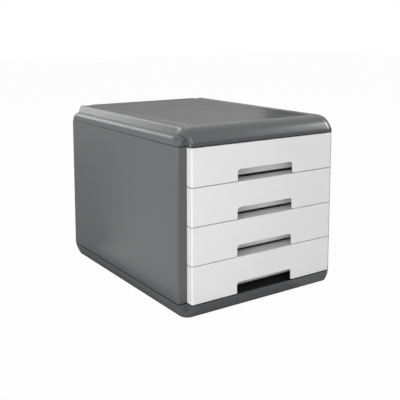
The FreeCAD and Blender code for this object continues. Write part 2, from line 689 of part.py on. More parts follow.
def make_tray(number):
    """Open tray with a low front wall, latch slots and a stop tab on each side."""
    body = add_body(f"drawer_{number}_tray")
    rim = "(drawer_pitch - tray_top_gap)"
    block = rounded_rectangle(f"-{TRAY_HALF}", TRAY_HALF, TRAY_Y, TRAY_BACK_Y, "tray_corner_radius")
    extrude(body, "block", "XY", [block], "tray_lift", rim)
    under_z = value("tray_lift")
    fillet(body, "under_edge", "tray_bottom_radius", lambda box: at_height(box, under_z))
    inner_half = f"({TRAY_HALF} - tray_wall)"
    hollow = rounded_rectangle(f"-{inner_half}", inner_half, f"({TRAY_Y} + tray_wall)",
                               f"({TRAY_BACK_Y} - tray_wall)", "(tray_corner_radius - tray_wall)")
    extrude(body, "hollow", "XY", [hollow], "tray_lift + tray_wall", rim, cut=True)
    floor_z = value("tray_lift + tray_wall")
    fillet(body, "floor_edge", "tray_bottom_radius", lambda box: at_height(box, floor_z))
    extrude(body, "front_relief", "XY",
            [rectangle(f"-{TRAY_HALF} - tray_wall", f"{TRAY_HALF} + tray_wall",
                       f"{TRAY_Y} - tray_wall", f"{TRAY_Y} + tray_wall + fit_gap")],
            "drawer_pitch - front_gap / 2 - flange_wall", f"{rim} + tray_wall", cut=True)
    slot = rectangle(f"{LATCH_X} - latch_width / 2 - fit_gap", f"{LATCH_X} + latch_width / 2 + fit_gap",
                     "latch_height - fit_gap", "latch_height + latch_wall + latch_hook + fit_gap")
    extrude(body, "latch_slots", "XZ", [slot, mirrored(slot)],
            f"{TRAY_Y} - tray_wall", f"{TRAY_Y} + 2 * tray_wall", cut=True)
    stop_y = f"({PANEL_Y} + panel_wall + drawer_travel + running_gap)"
    root_x = f"({TRAY_HALF} - tray_wall / 2)"
    stop = [(root_x, stop_y), (f"{TRAY_HALF} + stop_standout", stop_y),
            (f"{TRAY_HALF} + stop_standout", f"{stop_y} + stop_flat"), (root_x, f"{stop_y} + stop_length")]
    extrude(body, "stop_tabs", "XY", [stop, mirrored(stop)],
            "tray_lift + stop_lift", "tray_lift + stop_lift + stop_height")
    place_at_level(body, number)
    return body


def make_front(number):
    """Hollow front with its finger notch; it hooks over the tray's front wall and latches in."""
    body = add_body(f"drawer_{number}_front")
    low = "(front_gap / 2)"
    high = "(drawer_pitch - front_gap / 2)"
    rear_y = f"({PANEL_Y} - front_rear_gap)"
    inside_y = f"({FRONT_Y} + front_wall)"
    extrude(body, "block", "XY", [rectangle(f"-{FRONT_HALF}", FRONT_HALF, FRONT_Y, rear_y)], low, high)
    face_y = value(FRONT_Y)
    fillet(body, "upright_edges", "front_corner_radius", lambda box: upright(box) and near(box.YMin, face_y))
    ends_z = (value(low), value(high))
    rim_y = value(rear_y)
    fillet(body, "level_edges", "front_edge_radius",
           lambda box: any(at_height(box, z) for z in ends_z) and not near(box.YMin, rim_y))
    inner_half = f"({FRONT_HALF} - front_wall)"
    extrude(body, "hollow", "XY",
            [rectangle(f"-{inner_half}", inner_half, inside_y, f"{rear_y} + front_wall")],
            f"{low} - front_gap", f"{high} - flange_wall", cut=True)
    side = "(notch_width / 2)"
    lip = "notch_lip_radius"
    extrude(body, "finger_notch", "XZ", [[
        (f"{side} + {lip}", low), (side, f"{low} + {lip}", lip, -1),
        (side, "notch_height - notch_radius"),
        (f"{side} - notch_radius", "notch_height", "notch_radius", 1),
        (f"-{side} + notch_radius", "notch_height"),
        (f"-{side}", "notch_height - notch_radius", "notch_radius", 1),
        (f"-{side}", f"{low} + {lip}"), (f"-{side} - {lip}", low, lip, -1),
    ]], f"{FRONT_Y} - front_wall", f"{inside_y} + front_wall", cut=True)
    extrude(body, "top_flange", "XY",
            [rectangle(f"-{TRAY_HALF}", TRAY_HALF, inside_y, f"{TRAY_Y} + tray_wall")],
            f"{high} - flange_wall", high)
    wall_back = f"({TRAY_Y} + tray_wall + fit_gap)"
    extrude(body, "hook_lip", "YZ", [[
        (inside_y, f"{high} - flange_wall"), (wall_back, f"{high} - flange_wall"),
        (wall_back, f"{high} - flange_wall - lip_depth"),
        (f"{wall_back} + lip_wall", f"{high} - flange_wall - lip_depth"),
        (f"{wall_back} + lip_wall", high), (inside_y, high),
    ]], f"-{LIP_HALF}", LIP_HALF)
    ribs = [rectangle(f"{x} - front_rib_wall / 2", f"{x} + front_rib_wall / 2",
                      f"{inside_y} - front_wall / 2", TRAY_Y)
            for x in (f"({LATCH_X} - rib_spacing)", f"({LATCH_X} + rib_spacing)")]
    extrude(body, "ribs", "XY", ribs + [mirrored(rib) for rib in ribs],
            "tray_lift + tray_bottom_radius", f"{high} - flange_wall / 2")
    latch = extrude(body, "latch", "YZ", [[
        (f"{inside_y} - front_wall / 2", "latch_height"), (f"{wall_back} + latch_wall", "latch_height"),
        (f"{wall_back} + latch_wall", "latch_height + latch_wall"),
        (wall_back, "latch_height + latch_wall + latch_hook"), (wall_back, "latch_height + latch_wall"),
        (f"{inside_y} - front_wall / 2", "latch_height + latch_wall"),
    ]], f"{LATCH_X} - latch_width / 2", f"{LATCH_X} + latch_width / 2")
    mirror(body, "latches", [latch])
    place_at_level(body, number)
    return body


def place_at_level(body, number):
    """Drawer 1 is at the top."""
    body.setExpression("Placement.Base.z", formula(f"{BASE_TOP} + {DRAWER_COUNT - number} * drawer_pitch"))


parts = [make_base(), make_side_panel("left_side_panel", -1), make_side_panel("right_side_panel", 1),
         make_back_panel(), make_cover(), make_base_screws()]
parts += [make_foot("foot_" + corner, *place) for corner, place in foot_places().items()]
for drawer in range(1, DRAWER_COUNT + 1):
    parts += [make_tray(drawer), make_front(drawer)]
doc.recompute()

failed = [made.Name for made in doc.Objects if "Invalid" in made.State or "Error" in made.State]
if failed:
    raise RuntimeError("features that failed: " + ", ".join(failed))
os.makedirs("parts", exist_ok=True)
for part in parts:
    if part.Shape.isNull() or not part.Shape.isValid():
        raise RuntimeError(part.Label + " has no valid shape")
    part.Shape.exportStep(f"parts/{part.Label}.step")
    print(f"{part.Label}: {len(part.Shape.Solids)} solids, {part.Shape.Volume / 1000:.1f} cm3")
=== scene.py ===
import bmesh
import bpy
import json
import math
from mathutils import Matrix, Vector

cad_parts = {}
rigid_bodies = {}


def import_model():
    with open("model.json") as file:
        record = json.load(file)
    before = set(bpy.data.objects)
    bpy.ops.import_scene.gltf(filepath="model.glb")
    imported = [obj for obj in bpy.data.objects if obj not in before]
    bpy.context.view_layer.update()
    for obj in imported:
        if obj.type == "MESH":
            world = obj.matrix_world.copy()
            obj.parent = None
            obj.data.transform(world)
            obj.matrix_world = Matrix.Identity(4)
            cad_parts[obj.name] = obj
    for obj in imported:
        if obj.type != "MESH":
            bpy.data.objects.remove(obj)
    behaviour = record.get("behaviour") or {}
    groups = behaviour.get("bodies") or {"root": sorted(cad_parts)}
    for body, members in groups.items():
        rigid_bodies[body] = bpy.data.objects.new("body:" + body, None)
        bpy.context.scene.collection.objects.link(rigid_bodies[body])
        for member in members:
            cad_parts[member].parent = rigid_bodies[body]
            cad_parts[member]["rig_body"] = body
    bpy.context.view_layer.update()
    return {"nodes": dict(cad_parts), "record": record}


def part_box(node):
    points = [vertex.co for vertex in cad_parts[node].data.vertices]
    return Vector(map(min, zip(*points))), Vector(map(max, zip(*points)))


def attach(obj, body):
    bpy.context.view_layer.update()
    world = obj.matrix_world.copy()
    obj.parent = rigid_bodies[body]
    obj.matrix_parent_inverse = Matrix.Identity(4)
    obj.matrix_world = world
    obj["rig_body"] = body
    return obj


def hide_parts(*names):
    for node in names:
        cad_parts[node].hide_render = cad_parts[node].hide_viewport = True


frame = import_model()
mm = 0.001

camera = {
    "place": (-0.6060, -0.8991, 0.3851),
    "tilt": 82.41,          # degrees up from looking straight down
    "turn": -34.18,
    "lens": 61.68,
    "shiftY": -0.1973,      # the camera looks almost level, and the frame slides down to the unit
}


def makeCamera():
    data = bpy.data.cameras.new("studioCamera")
    data.lens, data.shift_y = camera["lens"], camera["shiftY"]
    holder = bpy.data.objects.new("studioCamera", data)
    holder.location = camera["place"]
    holder.rotation_euler = (math.radians(camera["tilt"]), 0, math.radians(camera["turn"]))
    bpy.context.scene.collection.objects.link(holder)
    bpy.context.scene.camera = holder


studio = {
    "floorHalf": 8.0,
    "floorWhite": 0.84,
    "floorGlow": 0.965,       # share of plain white that the camera sees in the floor
    "ambient": 0.45,          # the air's strength on the object, where reflections show it white
    "lamps": {                # place, target, direction of the height, width, height, watts
        "frontSoftbox": ((-1.1, -2.1, 1.25), (0, -0.1, 0.14), (0, 0, 1), 1.1, 1.0, 14.2),
        "leftSoftbox": ((-1.25, -0.75, 0.27), (-0.1, -0.12, 0.12), (0, 0, 1), 0.6, 0.5, 8.5),
        "backSoftbox": ((-0.62, 2.0, 0.98), (-0.1, 0.0, 0.25), (0, 0, 1), 1.15, 1.45, 14.7),
        "rightSoftbox": ((2.05, -0.25, 1.30), (0, -0.1, 0.2), (0, 0, 1), 0.8, 0.9, 8),
        "noseSoftbox": ((1.607, -0.532, 1.097), (0.359, 0.325, 0.306), (-0.04, 0.66, 0.75), 0.83, 0.9, 15),
    },
    "onlyReflected": ("noseSoftbox",),         # seen in the gloss, adds nothing to the light
    "flags": {                # middle, direction of the width, direction of the height, sizes, grey
        "cameraFlag": ((0.6, -3.4, 1.2), (1, 0, 0), (0, 0, 1), (6.0, 2.4), 0.05),
        "backFlag": ((0.45, 1.4, 0.33), (1, 0, 0), (0, 0, 1), (1.7, 0.66), 0.46),
        "farFlag": ((1.90, 1.4, 0.43), (1, 0, 0), (0, 0, 1), (1.2, 0.86), 0.10),
        "floorFlag": ((-0.26, 1.33, 0.002), (0.874, 0.466, 0), (-0.466, 0.874, 0), (1.0, 2.1), 0.55),
        # the cards under and beside the unit are painted shade: they stand for the floor's shadow round the unit
        # where the base reflects it, lighter on the right
        "underShadeFlag": ((-0.055, 0.0, 0.0015), (1, 0, 0), (0, 1, 0), (0.25, 0.44), 0.30),
        "besideShadeFlag": ((0.11, 0.0, 0.0015), (1, 0, 0), (0, 1, 0), (0.08, 0.44), 0.85),
    },
}


def addNode(tree, kind, label="", **settings):
    node = tree.nodes.new(kind)
    node.label = label
    for key, setting in settings.items():
        setattr(node, key, setting)
    return node


def whiteRays(tree):
    # 1 on the rays by which the camera, a mirror or glass sees white surroundings
    seen = addNode(tree, "ShaderNodeLightPath")
    either = seen.outputs["Is Camera Ray"]
    for ray in ("Is Glossy Ray", "Is Transmission Ray"):
        larger = addNode(tree, "ShaderNodeMath", operation="MAXIMUM")
        tree.links.new(either, larger.inputs[0])
        tree.links.new(seen.outputs[ray], larger.inputs[1])
        either = larger.outputs[0]
    return either


def floorMaterial():
    material = bpy.data.materials.new("floorPaper")
    material.use_nodes = True
    tree = material.node_tree
    tree.nodes.clear()
    out = addNode(tree, "ShaderNodeOutputMaterial")
    paper = addNode(tree, "ShaderNodeBsdfDiffuse")
    paper.inputs["Color"].default_value = (studio["floorWhite"],) * 3 + (1,)
    glow = addNode(tree, "ShaderNodeEmission")
    share = addNode(tree, "ShaderNodeMath", operation="MULTIPLY")
    share.inputs[1].default_value = studio["floorGlow"]
    mix = addNode(tree, "ShaderNodeMixShader")
    tree.links.new(whiteRays(tree), share.inputs[0])
    tree.links.new(share.outputs[0], mix.inputs["Fac"])
    tree.links.new(paper.outputs[0], mix.inputs[1])
    tree.links.new(glow.outputs[0], mix.inputs[2])
    tree.links.new(mix.outputs[0], out.inputs["Surface"])
    return material


def makeAir():
    world = bpy.data.worlds.new("studioAir")
    bpy.context.scene.world = world
    world.use_nodes = True
    tree = world.node_tree
    tree.nodes.clear()
    out = addNode(tree, "ShaderNodeOutputWorld")
    air = addNode(tree, "ShaderNodeBackground")
    air.inputs["Color"].default_value = (1, 1, 1, 1)
    strength = addNode(tree, "ShaderNodeMapRange", "plain on the object, white in view")
    strength.inputs["To Min"].default_value = studio["ambient"]
    strength.inputs["To Max"].default_value = 1.0
    tree.links.new(whiteRays(tree), strength.inputs["Value"])
    tree.links.new(strength.outputs[0], air.inputs["Strength"])
    tree.links.new(air.outputs[0], out.inputs["Surface"])


def makeFlag(name, middle, across, up, sizes, grey):
    # a card that shows in reflections alone, to keep the white air out of some of them
    middle, across, up = Vector(middle), Vector(across).normalized(), Vector(up).normalized()
    corners = [middle + across * sizes[0] * a / 2 + up * sizes[1] * b / 2
               for a, b in ((-1, -1), (1, -1), (1, 1), (-1, 1))]
    card = bpy.data.meshes.new(name)
    card.from_pydata(corners, [], [(0, 1, 2, 3)])
    material = bpy.data.materials.new(name + "Cloth")
    material.use_nodes = True
    tree = material.node_tree
    tree.nodes.clear()
    cloth = addNode(tree, "ShaderNodeBsdfDiffuse")
    cloth.inputs["Color"].default_value = (grey, grey, grey, 1)
    tree.links.new(cloth.outputs[0], addNode(tree, "ShaderNodeOutputMaterial").inputs["Surface"])
    card.materials.append(material)
    flag = bpy.data.objects.new(name, card)
    flag.visible_camera = flag.visible_diffuse = flag.visible_shadow = False
    bpy.context.scene.collection.objects.link(flag)


def makeStudio():
    half = studio["floorHalf"]
    mesh = bpy.data.meshes.new("floor")
    mesh.from_pydata([(-half, -half, 0), (half, -half, 0), (half, half, 0), (-half, half, 0)], [], [(0, 1, 2, 3)])
    mesh.materials.append(floorMaterial())
    floor = bpy.data.objects.new("floor", mesh)
    bpy.context.scene.collection.objects.link(floor)
    makeAir()
    for name, (place, target, up, width, height, watts) in studio["lamps"].items():
        data = bpy.data.lights.new(name, "AREA")
        data.shape, data.size, data.size_y, data.energy = "RECTANGLE", width, height, watts
        lamp = bpy.data.objects.new(name, data)
        away = (Vector(place) - Vector(target)).normalized()
        across = Vector(up).cross(away).normalized()
        lamp.location = place
        lamp.rotation_euler = Matrix((across, away.cross(across), away)).transposed().to_euler()
        lamp.visible_diffuse = name not in studio["onlyReflected"]
        bpy.context.scene.collection.objects.link(lamp)
    for name, numbers in studio["flags"].items():
        makeFlag(name, *numbers)
    bpy.context.scene.view_settings.view_transform = "Standard"


def newGroup(name, inputs, outputs):
    # inputs are name, socket kind and value, outputs name and socket kind
    group = bpy.data.node_groups.new(name, "ShaderNodeTree")
    for title, kind, value in inputs:
        socket = group.interface.new_socket(title, in_out="INPUT", socket_type="NodeSocket" + kind)
        if value is not None:
            socket.default_value = value
    for title, kind in outputs:
        group.interface.new_socket(title, in_out="OUTPUT", socket_type="NodeSocket" + kind)
    return group, group.nodes.new("NodeGroupInput"), group.nodes.new("NodeGroupOutput")


patterns = {
    "coarsePerFine": 0.22, "coarseDetail": 3,          # uneven etching against the grains
    "patchDetail": 4, "patchDistortion": 0.4,          # where hands wiped
    "smearDetail": 2, "smearsPerPatch": 7.0,
    "softFrom": 0.35, "softTo": 0.68,                  # noise values over which a patch fades in
}


def mouldedGrainGroup():
    # the fine spark-eroded grain that a mould leaves, as a height and as small changes of gloss
    group, given, result = newGroup(
        "mouldedGrain",
        [("Vector", "Vector", None), ("Grains per Metre", "Float", 1500.0), ("Coarse Share", "Float", 0.12)],
        [("Height", "Float"), ("Gloss Shift", "Float")])
    fine = addNode(group, "ShaderNodeTexVoronoi", "grains", feature="SMOOTH_F1")
    coarse = addNode(group, "ShaderNodeTexNoise", "uneven etching")
    coarse.inputs["Detail"].default_value = patterns["coarseDetail"]
    wide = addNode(group, "ShaderNodeMath", operation="MULTIPLY")
    wide.inputs[1].default_value = patterns["coarsePerFine"]
    blend = addNode(group, "ShaderNodeMix", data_type="FLOAT")
    centred = addNode(group, "ShaderNodeMath", operation="SUBTRACT")
    centred.inputs[1].default_value = 0.5
    group.links.new(given.outputs["Vector"], fine.inputs["Vector"])
    group.links.new(given.outputs["Grains per Metre"], fine.inputs["Scale"])
    group.links.new(given.outputs["Grains per Metre"], wide.inputs[0])
    group.links.new(given.outputs["Vector"], coarse.inputs["Vector"])
    group.links.new(wide.outputs[0], coarse.inputs["Scale"])
    group.links.new(given.outputs["Coarse Share"], blend.inputs["Factor"])
    group.links.new(fine.outputs["Distance"], blend.inputs["A"])
    group.links.new(coarse.outputs["Fac"], blend.inputs["B"])
    group.links.new(blend.outputs["Result"], result.inputs["Height"])
    group.links.new(coarse.outputs["Fac"], centred.inputs[0])
    group.links.new(centred.outputs[0], result.inputs["Gloss Shift"])
    return group


def handlingGroup():
    # where hands have wiped a surface it is a little smoother and darker, in soft patches
    group, given, result = newGroup(
        "handlingMarks",
        [("Vector", "Vector", None), ("Patches per Metre", "Float", 9.0),
         ("Stretch", "Vector", (1.0, 1.0, 0.45))],
        [("Wiped", "Float"), ("Smear", "Float")])
    drawn = addNode(group, "ShaderNodeVectorMath", "drawn out by the wiping", operation="MULTIPLY")
    patches = addNode(group, "ShaderNodeTexNoise", "patches")
    patches.inputs["Detail"].default_value = patterns["patchDetail"]
    patches.inputs["Distortion"].default_value = patterns["patchDistortion"]
    smears = addNode(group, "ShaderNodeTexNoise", "smears")
    smears.inputs["Detail"].default_value = patterns["smearDetail"]
    finer = addNode(group, "ShaderNodeMath", operation="MULTIPLY")
    finer.inputs[1].default_value = patterns["smearsPerPatch"]
    group.links.new(given.outputs["Vector"], drawn.inputs[0])
    group.links.new(given.outputs["Stretch"], drawn.inputs[1])
    group.links.new(given.outputs["Patches per Metre"], patches.inputs["Scale"])
    group.links.new(given.outputs["Patches per Metre"], finer.inputs[0])
    group.links.new(finer.outputs[0], smears.inputs["Scale"])
    for texture, title in ((patches, "Wiped"), (smears, "Smear")):
        soft = addNode(group, "ShaderNodeMapRange", interpolation_type="SMOOTHSTEP")
        soft.inputs["From Min"].default_value = patterns["softFrom"]
        soft.inputs["From Max"].default_value = patterns["softTo"]
        group.links.new(drawn.outputs[0], texture.inputs["Vector"])
        group.links.new(texture.outputs["Fac"], soft.inputs["Value"])
        group.links.new(soft.outputs[0], result.inputs[title])
    return group


def seamShadeGroup():
    # painted shade along the level seams of a case: the colour darkens towards the two seam heights
    group, given, result = newGroup(
        "seamShade",
        [("Vector", "Vector", None), ("Upper Seam", "Float", 0.2346), ("Lower Seam", "Float", 0.0203),
         ("Reach", "Float", 0.001), ("Depth", "Float", 0.6)],
        [("Shade", "Float")])
    parts = addNode(group, "ShaderNodeSeparateXYZ")
    group.links.new(given.outputs["Vector"], parts.inputs[0])
    distances = []
    for title in ("Upper Seam", "Lower Seam"):
        offset = addNode(group, "ShaderNodeMath", operation="SUBTRACT")
        size = addNode(group, "ShaderNodeMath", operation="ABSOLUTE")
        group.links.new(parts.outputs["Z"], offset.inputs[0])
        group.links.new(given.outputs[title], offset.inputs[1])
        group.links.new(offset.outputs[0], size.inputs[0])
        distances.append(size)
    nearer = addNode(group, "ShaderNodeMath", operation="MINIMUM")
    fade = addNode(group, "ShaderNodeMapRange", interpolation_type="SMOOTHSTEP")
    group.links.new(distances[0].outputs[0], nearer.inputs[0])
    group.links.new(distances[1].outputs[0], nearer.inputs[1])
    group.links.new(nearer.outputs[0], fade.inputs["Value"])
    group.links.new(given.outputs["Reach"], fade.inputs["From Max"])
    group.links.new(given.outputs["Depth"], fade.inputs["To Min"])
    fade.inputs["To Max"].default_value = 0.0
    group.links.new(fade.outputs[0], result.inputs["Shade"])
    return group


finishes = {
    "housingPlastic": {
        "colour": (0.086, 0.088, 0.091), "roughness": 0.25, "metallic": 0.0, "grains": 1500, "grainDepth": 0.006,
        # seamColour is the near-black colour of the painted shade along the seams
        "glossSpread": 0.02, "tone": 0.03, "patches": 8, "seamColour": (0.004, 0.004, 0.004),
        "seam": {"Upper Seam": 0.2346, "Lower Seam": 0.0203, "Reach": 0.0011, "Depth": 0.9},
    },
    "drawerPlastic": {
        "colour": (0.775, 0.775, 0.775), "roughness": 0.36, "metallic": 0.0, "grains": 2200, "grainDepth": 0.006,
        "glossSpread": 0.04, "tone": 0.015, "patches": 10,
    },
    "trayPlastic": {
        "colour": (0.760, 0.760, 0.758), "roughness": 0.30, "metallic": 0.0, "grains": 1900, "grainDepth": 0.005,
        "glossSpread": 0.05, "tone": 0.02, "patches": 7,
    },
    "footRubber": {
        "colour": (0.022, 0.022, 0.023), "roughness": 0.74, "metallic": 0.0, "grains": 3000, "grainDepth": 0.03,
        "glossSpread": 0.08, "tone": 0.25, "patches": 160,
    },
    "screwSteel": {
        "colour": (0.50, 0.50, 0.49), "roughness": 0.34, "metallic": 1.0, "grains": 5000, "grainDepth": 0.004,
        "glossSpread": 0.12, "tone": 0.12, "patches": 400,
    },
}


def makeFinish(name, grain, handling, seam):
    look = finishes[name]
    material = bpy.data.materials.new(name)
    material.use_nodes = True
    tree = material.node_tree
    shader = tree.nodes["Principled BSDF"]
    shader.inputs["Metallic"].default_value = look["metallic"]
    place = addNode(tree, "ShaderNodeTexCoord")
    grainNode = addNode(tree, "ShaderNodeGroup", "grain", node_tree=grain)
    grainNode.inputs["Grains per Metre"].default_value = look["grains"]
    marks = addNode(tree, "ShaderNodeGroup", "marks", node_tree=handling)
    marks.inputs["Patches per Metre"].default_value = look["patches"]
    for user in (grainNode, marks):
        tree.links.new(place.outputs["Object"], user.inputs["Vector"])

    tone = addNode(tree, "ShaderNodeMix", "tone", data_type="RGBA")
    lighter, darker = 1 + look["tone"] / 2, 1 - look["tone"] / 2
    tone.inputs["A"].default_value = (*[part * lighter for part in look["colour"]], 1)
    tone.inputs["B"].default_value = (*[part * darker for part in look["colour"]], 1)
    tree.links.new(marks.outputs["Wiped"], tone.inputs["Factor"])
    coloured = tone.outputs["Result"]
    # painted shade: the colour fades to near-black close to the upper and lower seams
    if "seam" in look:
        shade = addNode(tree, "ShaderNodeGroup", "seam shade", node_tree=seam)
        for title, value in look["seam"].items():
            shade.inputs[title].default_value = value
        tree.links.new(place.outputs["Object"], shade.inputs["Vector"])
        dim = addNode(tree, "ShaderNodeMix", "shade in the seams", data_type="RGBA")
        dim.inputs["B"].default_value = (*look["seamColour"], 1)
        tree.links.new(shade.outputs["Shade"], dim.inputs["Factor"])
        tree.links.new(coloured, dim.inputs["A"])
        coloured = dim.outputs["Result"]
    tree.links.new(coloured, shader.inputs["Base Color"])

    patchy = addNode(tree, "ShaderNodeMapRange", "wiped smoother")
    patchy.inputs["To Min"].default_value = look["roughness"] + look["glossSpread"] / 2
    patchy.inputs["To Max"].default_value = look["roughness"] - look["glossSpread"] / 2
    grainy = addNode(tree, "ShaderNodeMath", "grain in the gloss", operation="MULTIPLY_ADD")
    grainy.inputs[1].default_value = look["glossSpread"]
    tree.links.new(marks.outputs["Smear"], patchy.inputs["Value"])
    tree.links.new(grainNode.outputs["Gloss Shift"], grainy.inputs[0])
    tree.links.new(patchy.outputs[0], grainy.inputs[2])
    tree.links.new(grainy.outputs[0], shader.inputs["Roughness"])

    bump = addNode(tree, "ShaderNodeBump", "grain's relief")
    bump.inputs["Distance"].default_value = look["grainDepth"] * mm
    tree.links.new(grainNode.outputs["Height"], bump.inputs["Height"])
    tree.links.new(bump.outputs["Normal"], shader.inputs["Normal"])
    return material


def placePiece(piece, body, slot, *replaced):
    bpy.context.scene.collection.objects.link(piece)
    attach(piece, body)
    if replaced:
        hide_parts(*replaced)
    return piece


moulding = {
    "weld": 0.002,            # mm, corners of neighbouring faces that are one corner
    "creaseAngle": 30,        # degrees, above which an edge stays crisp
}


def creaseEdges(work):
    crease = math.radians(moulding["creaseAngle"])
    for face in work.faces:
        face.smooth = True
        face.material_index = 0
    for edge in work.edges:
        edge.smooth = len(edge.link_faces) == 2 and edge.calc_face_angle(0) < crease


def evenShading(piece):
    even = piece.modifiers.new("evenShading", "WEIGHTED_NORMAL")
    even.keep_sharp, even.weight = True, 100


def mouldedPiece(name, node, material, body, slot, reshape=None):
    # a node's loose faces welded into one skin whose rounds shade evenly
    mesh = frame["nodes"][node].data.copy()
    mesh.name = name
    mesh.materials.clear()
    mesh.materials.append(material)
    work = bmesh.new()
    work.from_mesh(mesh)
    bmesh.ops.remove_doubles(work, verts=work.verts, dist=moulding["weld"] * mm)
    if reshape:
        reshape(work)
    creaseEdges(work)
    work.to_mesh(mesh)
    work.free()
    piece = placePiece(bpy.data.objects.new(name, mesh), body, slot, node)
    evenShading(piece)
    return piece


cover = {                     # mm
    "wall": 2.5,
    "height": 23.4,
    "tierHeight": 12.6,
    "tierStep": 12.3,         # the tier's front behind the nose's
    "tierLedge": 15.5,        # how far the tier reaches in under the raised centre
    "shoulder": 5.2,          # radius of the tier's upper edge
    "seamGap": 0.25,          # the tier's rim above the seam's own height
    "rimBevel": 0.25,
    "tierCorner": 3.0,        # plan radius at the seam
    "cornerGrowth": 11.0,     # what it gains up to the tier's top
    "noseDepth": 31.5,
    "noseLowRadius": 13.0,
    "rearEdge": 1.6,
    "rearSkirt": 1.0,         # how far the rear wall goes down past the raised centre's foot
    "ribHalf": 119.9, "ribWall": 2.0, "ribFoot": 233.7, "ribFront": -140.5, "ribBack": 142.0,
    # the raised centre's right half in section, on top and where the nose meets the drawers
    "onTop": {"foot": 128.8, "skirt": 13.6, "lean": 20, "round": 4.4, "crest": 120.8, "valley": 114.6,
              "dip": 1.15, "swell": 98.0},
    "onNose": {"foot": 127.0, "skirt": 12.7, "lean": 0, "round": 2.2, "crest": 124.8, "valley": 122.0,
               "dip": 0.45, "swell": 117.0},
    "crestDrop": 0.1,         # the crest below the flat field
    "turnBegins": 36.0, "turnEnds": 16.0,   # mm behind the nose's face, between which one becomes the other
}
coverSteps = {"riser": 4, "round": 12, "valley": 8, "swell": 12, "field": 6, "top": 8, "bend": 5,
              "noseHigh": 24, "noseLow": 14, "rearEdge": 6, "shoulder": 8}


def ease(share):
    share = min(1, max(0, share))
    return share * share * (3 - 2 * share)


def crownHalf(turned):
    # mm from the centre and mm below the top
    line = {key: (1 - turned) * cover["onTop"][key] + turned * cover["onNose"][key] for key in cover["onTop"]}
    steep = math.radians(90 - line["lean"])
    lip, steps = cover["crestDrop"], coverSteps
    points = [(line["foot"], line["skirt"])]
    low = (line["crest"] + line["round"] * math.sin(steep), lip + line["round"] * (1 - math.cos(steep)))
    for step in range(1, steps["riser"]):
        points.append(tuple(a + (b - a) * step / steps["riser"] for a, b in zip(points[0], low)))
    for step in range(steps["round"] + 1):
        angle = steep * (1 - step / steps["round"])
        points.append((line["crest"] + line["round"] * math.sin(angle),
                       lip + line["round"] * (1 - math.cos(angle))))
    for step in range(1, steps["valley"] + 1):
        share = step / steps["valley"]
        points.append((line["crest"] + (line["valley"] - line["crest"]) * share,
                       lip + (line["dip"] - lip) * ease(share)))
    for step in range(1, steps["swell"] + 1):
        share = step / steps["swell"]
        points.append((line["valley"] + (line["swell"] - line["valley"]) * share,
                       line["dip"] * (1 - ease(share))))
    for step in range(1, steps["field"] + 1):
        points.append((line["swell"] * (1 - step / steps["field"]), 0))
    return points


def crownLine(turned):
    half = crownHalf(turned)
    return [(-x, drop) for x, drop in half[:-1]] + half[::-1]


def nosePath(box):
    # side view: y and z of the top line and its slope
    low, depth, steps = cover["noseLowRadius"], cover["noseDepth"], coverSteps
    front, top = box[0].y / mm, box[1].z / mm
    fall = cover["height"]
    alpha = 2 * math.atan((fall - low) / (depth - low))
    high = low + (depth - low) / math.sin(alpha)
    rear, bend = box[1].y / mm - cover["rearEdge"], front + cover["turnBegins"]
    rows = [(rear + (bend - rear) * step / steps["top"], top, 0.0) for step in range(steps["top"])]
    rows += [(bend + (front + depth - bend) * step / steps["bend"], top, 0.0) for step in range(steps["bend"] + 1)]
    for step in range(1, steps["noseHigh"] + 1):
        angle = alpha * step / steps["noseHigh"]
        rows.append((front + depth - high * math.sin(angle), top - high * (1 - math.cos(angle)), angle))
    for step in range(1, steps["noseLow"] + 1):
        angle = alpha + (math.pi / 2 - alpha) * step / steps["noseLow"]
        rows.append((front + low * (1 - math.sin(angle)), top - fall + low * math.cos(angle), angle))
    return rows


def crownGrid(box):
    # rows of points from the rear wall's foot over the top and down the nose
    grid = []
    back, top = box[1].y / mm, box[1].z / mm
    flat = crownLine(0)
    radius = cover["rearEdge"]
    grid.append([(x, back, top - cover["onTop"]["skirt"] - cover["rearSkirt"]) for x, drop in flat])
    for step in range(coverSteps["rearEdge"]):
        angle = math.pi / 2 * step / coverSteps["rearEdge"]
        grid.append([(x, back - radius * (1 - math.cos(angle)), top - drop - radius * (1 - math.sin(angle)))
                     for x, drop in flat])
    begins, ends = cover["turnBegins"], cover["turnEnds"]
    for y, z, angle in nosePath(box):
        turned = ease((begins - (y - box[0].y / mm)) / (begins - ends))
        grid.append([(x, y + drop * math.sin(angle), z - drop * math.cos(angle))
                     for x, drop in crownLine(turned)])
    return grid


def addShell(work, grid, wall):
    # a grid of points as a skin with the wall's thickness behind it
    outer = [[work.verts.new([part * mm for part in point]) for point in row] for row in grid]
    columns = len(grid[0])
    for upper, lower in zip(outer, outer[1:]):
        for column in range(columns - 1):
            work.faces.new((upper[column], lower[column], lower[column + 1], upper[column + 1]))
    work.normal_update()
    inner = [[work.verts.new(vert.co - vert.normal * wall * mm) for vert in row] for row in outer]
    for upper, lower in zip(inner, inner[1:]):
        for column in range(columns - 1):
            work.faces.new((upper[column], upper[column + 1], lower[column + 1], lower[column]))
    rim = [(0, column) for column in range(columns)] + [(row, columns - 1) for row in range(1, len(grid))]
    rim += [(len(grid) - 1, column) for column in range(columns - 2, -1, -1)]
    rim += [(row, 0) for row in range(len(grid) - 2, -1, -1)]
    for (row, column), (nextRow, nextColumn) in zip(rim, rim[1:]):
        work.faces.new((outer[nextRow][nextColumn], outer[row][column],
                        inner[row][column], inner[nextRow][nextColumn]))


def roundedRing(left, front, right, back, radius, steps=8):
    # a rectangle in plan with rounded corners, from the right back corner on
    points = []
    for cornerX, cornerY, start in ((right, back, 0), (left, back, 90), (left, front, 180), (right, front, 270)):
        centreX = cornerX - radius * (1 if cornerX == right else -1)
        centreY = cornerY - radius * (1 if cornerY == back else -1)
        for step in range(steps + 1):
            angle = math.radians(start + 90 * step / steps)
            points.append((centreX + radius * math.cos(angle), centreY + radius * math.sin(angle)))
    return points


